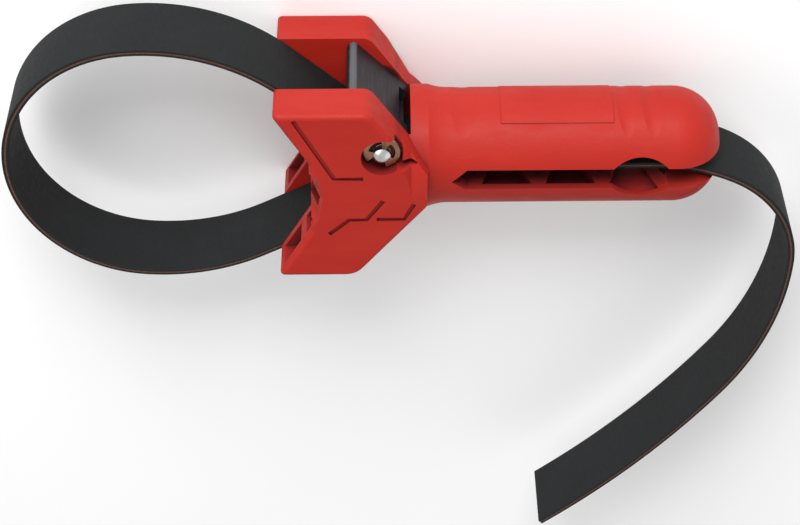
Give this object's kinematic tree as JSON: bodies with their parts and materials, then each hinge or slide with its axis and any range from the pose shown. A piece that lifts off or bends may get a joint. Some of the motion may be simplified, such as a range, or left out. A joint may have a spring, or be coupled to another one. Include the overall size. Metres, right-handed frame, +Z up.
{
  "type": "strap wrench",
  "caption": "Strap wrench with a moulded V-jaw handle, a split round grip, and a laminated belt that loops round the work and locks under a pivoting cam.",
  "frame": {"origin": "on the resting face of the head, under the axis of the grip", "axes": "+Z up from the face it lies on, +X along the grip to its rear end, +Y towards the open back of the cam"},
  "size_m": [0.291, 0.25, 0.061],
  "materials": {
    "red_nylon": "fine-textured glass-filled nylon moulding",
    "black_nylon": "satin moulded cam",
    "bright_steel": "bright zinc-plated steel",
    "clip_steel": "bronze-toned passivated spring steel",
    "spring_steel": "drawn spring wire",
    "belt_rubber": "matt rubber-covered woven belt",
    "belt_core": "woven traction layer, seen as a thin brown line on the edges"
  },
  "bodies": {
    "body": {"handle_body": "red_nylon", "cam_pivot_pin": "bright_steel", "retaining_clip": "clip_steel", "cam_spring": "spring_steel", "strap_inner_cover": "belt_rubber", "strap_core": "belt_core", "strap_outer_cover": "belt_rubber", "strap_anchor_rod": "bright_steel"},
    "cam": {"locking_cam": "black_nylon"}
  },
  "joints": [
    {"name": "cam_pivot", "type": "hinge", "parent": "body", "child": "cam", "pos_m": [0.0127, 0.0183, 0.0305], "axis": [0, 0, 1], "range_deg": [0, 35], "stiffness_Nm_per_rad": 0.05, "springref_deg": -22.92}
  ]
}
